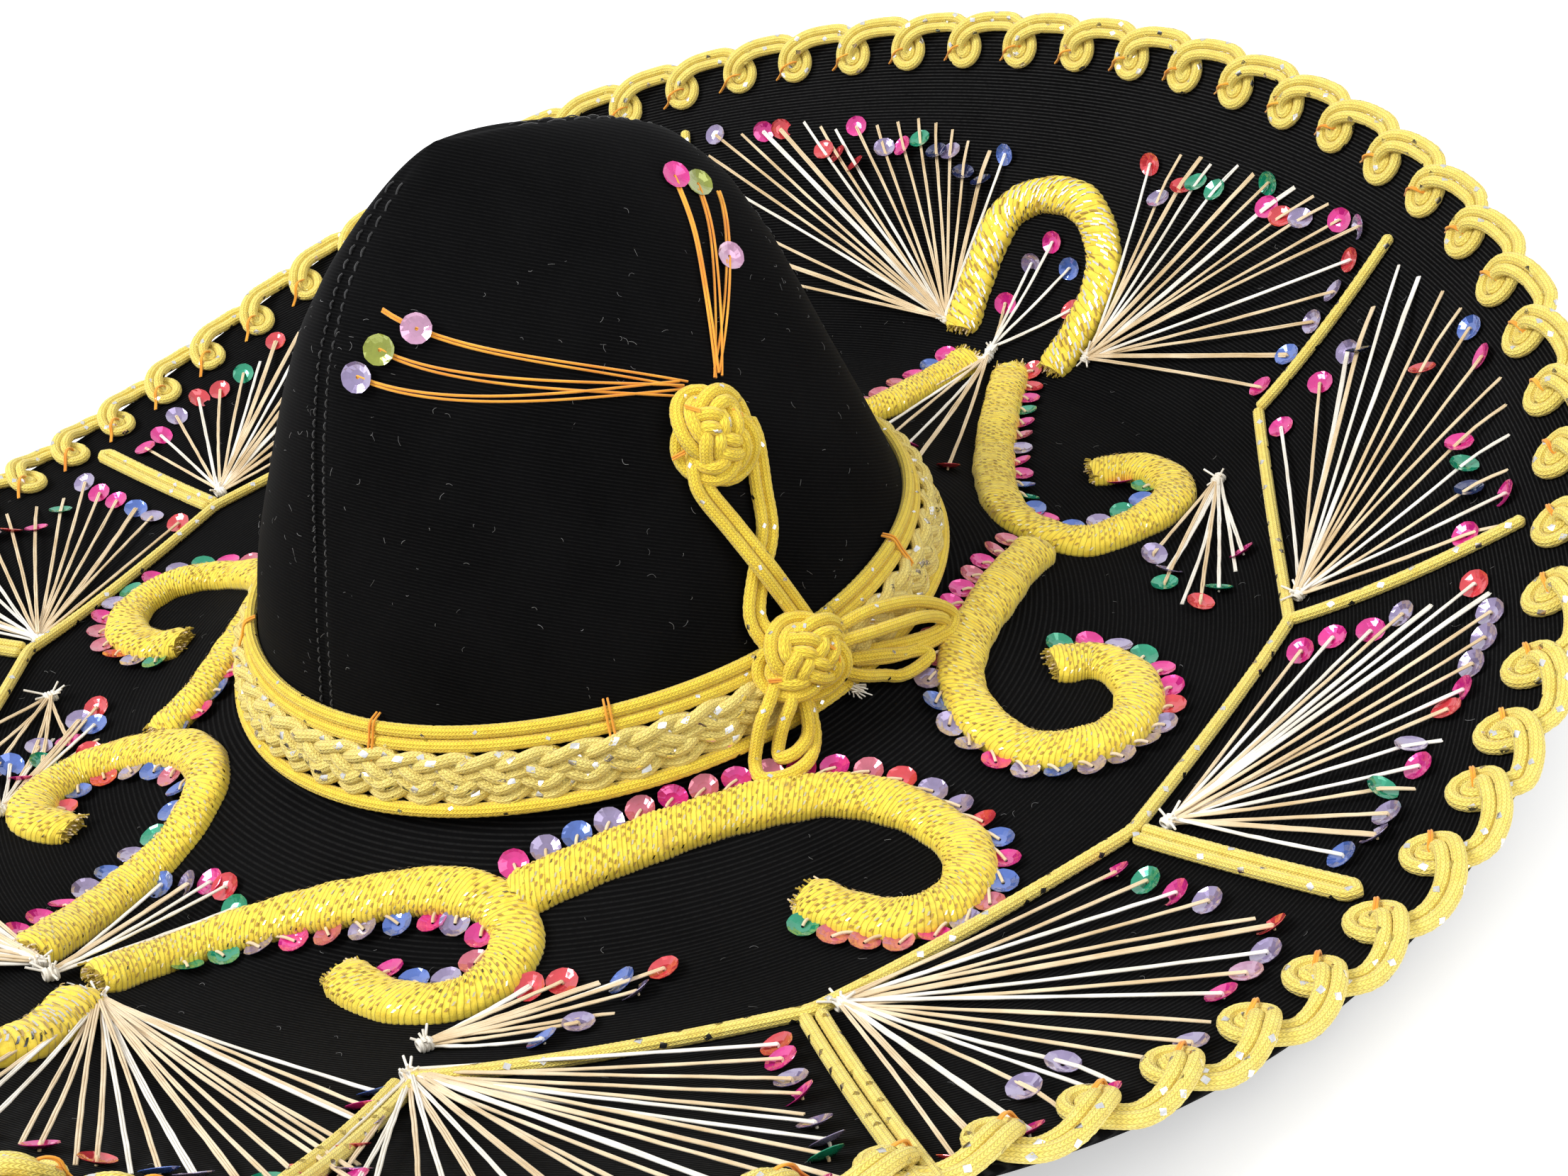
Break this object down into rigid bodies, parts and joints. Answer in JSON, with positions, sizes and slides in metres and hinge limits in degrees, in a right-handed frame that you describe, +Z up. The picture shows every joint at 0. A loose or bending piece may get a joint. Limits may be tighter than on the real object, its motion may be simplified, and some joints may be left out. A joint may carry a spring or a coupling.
{
  "type": "embroidered wide-brimmed hat",
  "caption": "Wide-brimmed black velvet hat with an upswept rim, tall pinched crown, braided band and yellow cord embroidery with thread fans and sequins.",
  "frame": {"origin": "centre of the hat seen from above, on the plane the underside of the brim rests on", "axes": "+Z up through the crown, -Y towards the front of the hat, +X to the wearer's left when worn facing -Y"},
  "size_m": [0.5226, 0.5475, 0.1665],
  "materials": {
    "brim_lining": "matt",
    "stiff_board": "matt",
    "black_velvet": "napped velvet",
    "edge_wire": "plain",
    "edge_binding": "matt ribbed",
    "crown_felt": "matt",
    "crown_lining": "satin",
    "sweatband": "matt",
    "yellow_cord": "braided, with metallic flecks",
    "yellow_wrap": "wrapped thread, with metallic flecks",
    "orange_thread": "twisted",
    "cream_thread": "soft twisted",
    "sequins": "faceted, glossy, mixed colours"
  },
  "bodies": {
    "root": {"band_cord_foot": "yellow_cord", "band_cord_middle": "yellow_cord", "band_cord_top": "yellow_cord", "band_plait": "yellow_cord", "brim_board": "stiff_board", "brim_edge_binding": "edge_binding", "brim_edge_wire": "edge_wire", "brim_underside": "brim_lining", "brim_velvet": "black_velvet", "crown_lining": "crown_lining", "crown_sequins": "sequins", "crown_shell": "crown_felt", "crown_threads_back": "orange_thread", "crown_threads_front": "orange_thread", "crown_velvet_left": "black_velvet", "crown_velvet_right": "black_velvet", "fan_heads": "cream_thread", "fan_sequins_back": "sequins", "fan_sequins_centre": "sequins", "fan_sequins_front": "sequins", "fan_sequins_left": "sequins", "fan_sequins_right": "sequins", "fan_sequins_small": "sequins", "fan_threads_back": "cream_thread", "fan_threads_centre": "cream_thread", "fan_threads_front": "cream_thread", "fan_threads_left": "cream_thread", "fan_threads_right": "cream_thread", "fan_threads_small": "cream_thread", "hairpin_back": "yellow_wrap", "hairpin_front": "yellow_wrap", "knot_leg_back": "yellow_cord", "knot_leg_front": "yellow_cord", "knot_loop_hanging": "yellow_cord", "knot_loop_side": "yellow_cord", "knot_lower": "yellow_cord", "knot_upper": "yellow_cord", "radial_cords_left": "yellow_cord", "radial_cords_right": "yellow_cord", "rim_cord": "yellow_cord", "rim_loops": "yellow_cord", "row_sequins_left": "sequins", "row_sequins_right": "sequins", "scroll_back_left": "yellow_wrap", "scroll_back_right": "yellow_wrap", "scroll_front_left": "yellow_wrap", "scroll_front_right": "yellow_wrap", "scroll_side_back_left": "yellow_wrap", "scroll_side_back_right": "yellow_wrap", "scroll_side_front_left": "yellow_wrap", "scroll_side_front_right": "yellow_wrap", "sweatband": "sweatband", "zigzag_cord_left": "yellow_cord", "zigzag_cord_right": "yellow_cord"}
  },
  "joints": []
}
